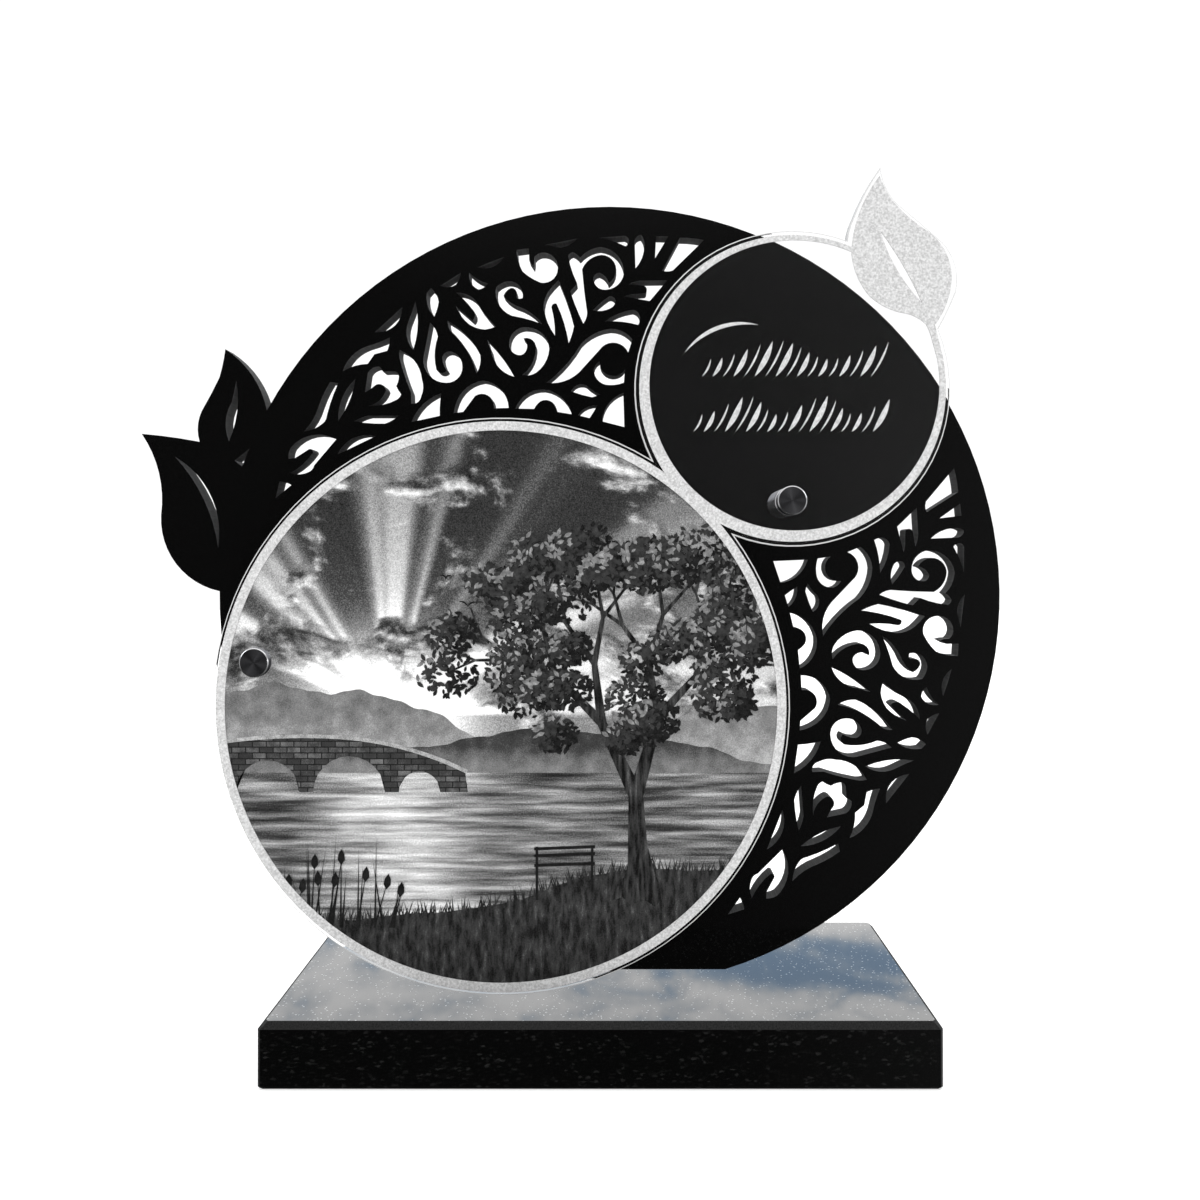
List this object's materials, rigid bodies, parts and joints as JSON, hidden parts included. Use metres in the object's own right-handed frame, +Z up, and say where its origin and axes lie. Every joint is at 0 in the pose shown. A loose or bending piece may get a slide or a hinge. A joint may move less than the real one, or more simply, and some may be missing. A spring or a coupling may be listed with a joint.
{
  "type": "memorial plaque",
  "caption": "Standing memorial plaque: granite plinth, black fretwork disc with leaves, and a clear panel of joined circles on standoffs.",
  "frame": {"origin": "centre of the plinth's underside", "axes": "+Z up, +X to the right as seen from the front, and the front faces -Y"},
  "size_m": [0.4235, 0.125, 0.4139],
  "materials": {
    "granite": "gloss",
    "black_acrylic": "gloss",
    "clear_acrylic": "gloss",
    "anodised": "satin"
  },
  "bodies": {
    "root": {"plinth": "granite", "back_plate": "black_acrylic", "front_panel": "clear_acrylic", "standoff_barrel_left": "anodised", "standoff_barrel_right": "anodised", "standoff_cap_left": "anodised", "standoff_cap_right": "anodised"}
  },
  "joints": []
}
